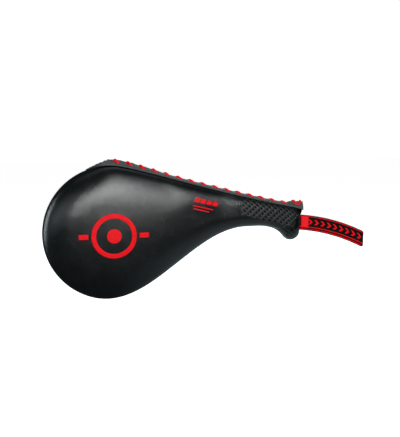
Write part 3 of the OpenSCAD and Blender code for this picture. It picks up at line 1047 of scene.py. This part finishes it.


def leather():
    """Black satin leather: pebbled grain, faint creases, lighter wear on sharp edges, and a painted
    highlight on the neck's shoulder.

    Painted shade makes it black in the groove under the lips and in the pits between the grip's bumps, and
    darker, with less shine, at the grip's end.
    """
    sh = Shader("cover_leather")
    p = sh.place()
    u, v, grip = sh.stored("u"), sh.stored("v"), sh.stored("grip")
    scatter = [sh.node("TexNoise", {"Vector": p, "Scale": scale}).outputs["Color"]
               for scale in (300.0, 260.0)]
    warped = sh.node("VectorMath", {0: scatter[0], 1: scatter[1], 2: p},
                     operation="MULTIPLY_ADD").outputs[0]
    pebbles = sh.steps(sh.cells(warped, 560.0, "DISTANCE_TO_EDGE"), 0.0, 0.3)
    coarse = sh.steps(sh.cells(warped, 250.0, "DISTANCE_TO_EDGE"), 0.0, 0.2)
    grain = sh.plus(pebbles, sh.times(coarse, 0.6))
    broad = sh.noise(p, 42.0, 4.0, 0.6)
    normal = sh.bump(grain, 0.3, 0.07)
    normal = sh.bump(sh.noise(p, 900.0, 3.0), 0.18, 0.05, normal)
    normal = sh.bump(broad, 0.25, 0.25, normal)

    wear = sh.steps(sh.node("NewGeometry").outputs["Pointiness"], 0.505, 0.56)
    from_shoulder = sh.node("VectorMath", {0: p, 1: tuple(c * MM for c in SHOULDER)},
                            operation="DISTANCE").outputs["Value"]
    # painted highlight: the base colour is lighter round the neck's shoulder
    painted_highlight = sh.times(sh.steps(from_shoulder, 0.024, 0.002), 0.6)
    base = sh.mix(sh.steps(broad, 0.3, 0.7), (0.0026, 0.0036, 0.0042), (0.0046, 0.0060, 0.0068))
    base = sh.mix(sh.times(wear, 0.25), base, (0.02, 0.022, 0.024))
    base = sh.mix(sh.times(grip, 0.6), base, (0.011, 0.0135, 0.0145))
    base = sh.mix(painted_highlight, base, (0.05, 0.054, 0.055))

    # painted shade: black in the groove under the lips and in the pits between the bumps, darker at the
    # grip's end, with less shine in all three
    laced = sh.times(sh.steps(v, 5.0, 12.0), sh.steps(u, -21.0, -14.0))
    painted_groove_shade = sh.times(laced, sh.steps(sh.stored("rim"), 0.10, 0.07))
    painted_end_shade = sh.times(sh.steps(u, GRIP_X - 24, GRIP_X - 6), sh.steps(v, -9.0, 1.0))
    dark = sh.math("MAXIMUM", painted_groove_shade, sh.steps(sh.stored("pit"), 0.3, 0.85))
    dark = sh.math("MAXIMUM", dark, sh.times(painted_end_shade, 0.75))

    rough = sh.plus(sh.times(broad, 0.10), sh.times(grain, -0.03))
    rough = sh.plus(rough, sh.times(grip, 0.20))
    shine = sh.times(sh.math("SUBTRACT", 1.0, dark), 0.5)
    return sh.finish(sh.mix(dark, base, (0.0005, 0.0005, 0.0005)), sh.plus(rough, 0.22), normal,
                     Specular_IOR_Level=shine)


def lip_leather():
    """Charcoal synthetic suede with a speckled grain, darker at its start, and painted black on its inner
    side as shade between the lips.
    """
    sh = Shader("lip_leather")
    p = sh.place()
    speckle = sh.cells(p, 1500.0)
    fine = sh.noise(p, 1500.0, 2.0, 0.7)
    mixed = sh.plus(sh.times(speckle, 0.8), sh.times(fine, 0.6))
    base = sh.mix(sh.steps(mixed, 0.42, 0.85), (0.02, 0.022, 0.024), (0.105, 0.11, 0.113))
    base = sh.mix(sh.steps(sh.stored("u"), -22.0, -8.0), (0.006, 0.007, 0.008), base)
    # painted shade: the lip's inner side is near black
    base = sh.mix(sh.stored("rim"), (0.003, 0.003, 0.003), base)
    return sh.finish(base, 0.72, sh.bump(mixed, 0.55, 0.22), Sheen_Weight=0.15, Sheen_Roughness=0.5)


def plain_cloth(name, color, dark, scale):
    """Matt textile or thread with a fine uneven weave."""
    sh = Shader(name)
    p = sh.place()
    weave = sh.cells(p, scale)
    base = sh.mix(sh.steps(weave, 0.1, 0.75), dark, color)
    return sh.finish(base, 0.85, sh.bump(weave, 0.4, 0.12), Sheen_Weight=0.2, Sheen_Roughness=0.5)


def red_cord():
    """Braided red polyester cord, with painted shade darkening the grooves of the plait and a faint painted
    glow.
    """
    sh = Shader("red_cord")
    u, v = sh.stored("u"), sh.stored("v")
    left = sh.stripes(sh.plus(u, v), 0.62)
    right = sh.stripes(sh.math("SUBTRACT", u, v), 0.62)
    yarn = sh.math("MAXIMUM", left, right)
    # painted shade: the yarns are darker red in the grooves of the plait
    groove = sh.steps(sh.stored("rim"), 0.0, 0.7)
    base = sh.mix(groove, (0.50, 0.0, 0.002), (1.0, 0.001, 0.004))
    fuzz = sh.noise(sh.place(), 2600.0, 2.0)
    normal = sh.bump(fuzz, 0.2, 0.06, sh.bump(yarn, 0.5, 0.1))
    # a painted glow makes the red brighter
    return sh.finish(base, 0.65, normal, glow=0.2, Specular_IOR_Level=0.2)


def webbing_cloth():
    """Black elastic webbing with red lines, woven chevrons and rope-like edges of black and maroon strands;
    the maroon is partly painted shade, and the colours have a faint painted glow.
    """
    sh = Shader("webbing")
    u = sh.stored("u")
    across = sh.math("SUBTRACT", sh.stored("v"), WEB_W / 2)
    side = sh.math("ABSOLUTE", across)
    slanting = sh.stripes(sh.plus(u, sh.times(across, 0.8)), 2.6)
    rope = sh.math("GREATER_THAN", slanting, 0.75)
    on_edge = sh.math("GREATER_THAN", side, 9.0)
    line = sh.math("LESS_THAN", sh.math("ABSOLUTE", sh.math("SUBTRACT", side, 8.0)), 0.6)
    pointed = sh.plus(u, sh.times(side, 1.1))
    run = sh.math("FRACT", sh.math("DIVIDE", pointed, 10.4))
    chevron = sh.times(sh.math("LESS_THAN", run, 0.36), sh.math("LESS_THAN", side, 3.9))
    red = sh.math("MAXIMUM", sh.times(rope, on_edge), sh.math("MAXIMUM", line, chevron))
    rib = sh.stripes(u, RIB)
    thread = sh.stripes(sh.stored("v"), 0.55)
    mottle = sh.noise(sh.uv(), 1.6, 2.0)
    bright = sh.mix(sh.times(rib, mottle), (0.75, 0.002, 0.006), (1.0, 0.006, 0.014))
    black = sh.mix(rib, (0.0015, 0.0008, 0.001), (0.006, 0.003, 0.004))
    weave = sh.plus(rib, sh.times(thread, 0.5))
    # the edge strands are dark maroon: partly their own colour, partly painted shade for the back layer's
    # edge that hangs below the front one
    base = sh.mix(red, black, sh.mix(on_edge, bright, (0.30, 0.002, 0.005)))
    # a faint painted glow brightens the reds
    return sh.finish(base, 0.75, sh.bump(weave, 0.45, 0.15), glow=0.12, Specular_IOR_Level=0.12)


def label_cloth():
    """Dense red satin label with a fine twill and a faint painted glow."""
    sh = Shader("red_label")
    u, v = sh.stored("u"), sh.stored("v")
    twill = sh.stripes(sh.plus(u, v), 0.7)
    base = sh.mix(sh.times(twill, 0.6), (1.0, 0.012, 0.02), (0.80, 0.006, 0.012))
    # a faint painted glow brightens the red
    return sh.finish(base, 0.6, sh.bump(twill, 0.3, 0.08), glow=0.12, Specular_IOR_Level=0.15)


def red_print():
    """Screen print: follows the leather's grain, with pinholes, slightly uneven ink and a faint painted
    glow.
    """
    sh = Shader("red_print")
    p = sh.place()
    grain = sh.cells(p, 560.0, "DISTANCE_TO_EDGE")
    ink = sh.noise(p, 240.0, 4.0, 0.65)
    base = sh.mix(sh.steps(ink, 0.25, 0.75), (0.82, 0.003, 0.009), (0.95, 0.005, 0.012))
    base = sh.mix(sh.times(sh.steps(grain, 0.03, 0.0), 0.25), base, (0.2, 0.003, 0.006))
    # a faint painted glow brightens the ink
    return sh.finish(base, sh.math("MULTIPLY_ADD", ink, 0.15, 0.42), sh.bump(grain, 0.25, 0.08),
                     glow=0.08, Specular_IOR_Level=0.12)


def foam_block(name, color):
    """Closed-cell foam with small open pores, painted darker as shade."""
    sh = Shader(name)
    p = sh.place()
    pores = sh.cells(p, 700.0)
    # painted shade: the pores are darker than the foam
    dark = tuple(0.45 * c for c in color)
    base = sh.mix(sh.steps(pores, 0.12, 0.3), dark, color)
    return sh.finish(base, 0.9, sh.bump(pores, 0.5, 0.3))


def board_plastic():
    """Springy fibre board: pale, with long fibres along its length."""
    sh = Shader("board")
    stretch = sh.node("Mapping", {"Vector": sh.place(), "Scale": (40.0, 600.0, 600.0)}).outputs[0]
    fibre = sh.noise(stretch, 1.0, 5.0, 0.6)
    base = sh.mix(sh.steps(fibre, 0.3, 0.7), (0.50, 0.47, 0.40), (0.66, 0.63, 0.56))
    return sh.finish(base, 0.6, sh.bump(fibre, 0.3, 0.1))


MATERIALS = {
    "cover_leather": leather(), "lip_leather": lip_leather(), "red_cord": red_cord(),
    "webbing": webbing_cloth(), "red_label": label_cloth(), "red_print": red_print(),
    "black_thread": plain_cloth("black_thread", (0.03, 0.03, 0.03), (0.006, 0.006, 0.006), 2400.0),
    "red_thread": plain_cloth("red_thread", (0.5, 0.01, 0.02), (0.2, 0.003, 0.006), 2400.0),
    "liner": plain_cloth("liner", (0.016, 0.016, 0.017), (0.004, 0.004, 0.004), 1300.0),
    "pad_foam": foam_block("pad_foam", (0.16, 0.16, 0.17)),
    "former_foam": foam_block("former_foam", (0.10, 0.10, 0.10)), "board": board_plastic()}
SLOT_OF = {part["node"]: part["material_slot"] for part in frame["record"]["subparts"]}
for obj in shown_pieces():
    slot_name = obj.get("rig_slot") or SLOT_OF[obj.name]
    obj.data.materials.clear()
    obj.data.materials.append(MATERIALS[slot_name])


# ---------------------------------------- camera, light and floor
def aim(obj, target):
    """Turns a camera or lamp towards a place."""
    obj.rotation_euler = (Vector(target) - obj.location).to_track_quat("-Z", "Y").to_euler()


def camera():
    """Looks at the front face from a little to the left and above."""
    data = bpy.data.cameras.new("camera")
    cam = placed("camera", data)
    middle = Vector((133.5, MID_Y, 4.5)) * MM
    az, el, away = math.radians(-15), math.radians(9), 0.924
    level = Vector((math.sin(az), -math.cos(az), 0)) * math.cos(el)
    cam.location = middle + away * (level + Vector((0, 0, math.sin(el))))
    aim(cam, middle)
    data.sensor_width = 36
    data.lens = 52.105263
    data.shift_x = -0.0083
    data.shift_y = 0.0178
    bpy.context.scene.camera = cam


def softbox(name, place, target, size, power, color=(0.86, 0.99, 1.02)):
    """A rectangular studio lamp, in metres and watts."""
    data = bpy.data.lights.new(name, "AREA")
    data.shape = "RECTANGLE"
    data.size, data.size_y = size
    data.energy = power
    data.color = color
    lamp = placed(name, data)
    lamp.location = place
    aim(lamp, target)
    lamp.visible_camera = False


def studio_world():
    """White to the camera, dimmer in reflections."""
    world = bpy.data.worlds.new("studio")
    world.use_nodes = True
    tree = world.node_tree
    back = tree.nodes["Background"]
    seen = tree.nodes.new("ShaderNodeLightPath").outputs["Is Camera Ray"]
    strength = tree.nodes.new("ShaderNodeMapRange")
    tree.links.new(seen, strength.inputs["Value"])
    strength.inputs["To Min"].default_value = 0.04
    strength.inputs["To Max"].default_value = 1.05
    back.inputs["Color"].default_value = (1, 1, 1, 1)
    tree.links.new(strength.outputs[0], back.inputs["Strength"])
    bpy.context.scene.world = world


def studio_floor():
    """Plain pale floor, well below the paddle so that its shadow stays faint.

    To reflections it is dark, apart from a soft glow below the neck and the grip.
    """
    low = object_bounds()[0][2] / MM - 140
    side = 6000
    corners = [(-side, -side, low), (side, -side, low), (side, side, low), (-side, side, low)]
    floor = make("floor", corners, [[0, 1, 2, 3]])
    sh = Shader("floor")
    seen = sh.node("LightPath").outputs["Is Camera Ray"]
    place = sh.node("SeparateXYZ", {0: sh.place()}).outputs
    below = sh.times(sh.steps(place["X"], 0.0, 0.35), sh.steps(place["Y"], -0.6, -0.2))
    glow = sh.math("MAXIMUM", sh.times(seen, 0.95), sh.times(below, 0.45))
    sh.finish(sh.mix(seen, (0.08, 0.08, 0.08), (0.9, 0.9, 0.9)), 0.9, Specular_IOR_Level=0.0,
              Emission_Color=sh.mix(seen, (0.82, 0.99, 1.04), (1.0, 1.0, 1.0)), Emission_Strength=glow)
    floor.data.materials.append(sh.material)


camera()
studio_world()
studio_floor()
softbox("key", (0.10, -1.5, 0.37), (0.0, -0.03, 0.02), (0.55, 0.14), 17, (0.96, 1.0, 0.985))
softbox("side", (-1.0, -1.05, 0.3), (-0.03, -0.03, 0.02), (0.5, 0.35), 2)
softbox("top", (0.15, -0.35, 1.3), (0.1, -0.02, 0.0), (1.2, 0.4), 2)
softbox("left", (-1.2, 0.1, 0.1), (0.0, -0.03, 0.0), (0.2, 0.8), 7)
softbox("back", (0.5, 1.4, 0.5), (0.05, 0.0, 0.0), (1.2, 0.6), 9)
bpy.context.scene.view_settings.view_transform = "Standard"
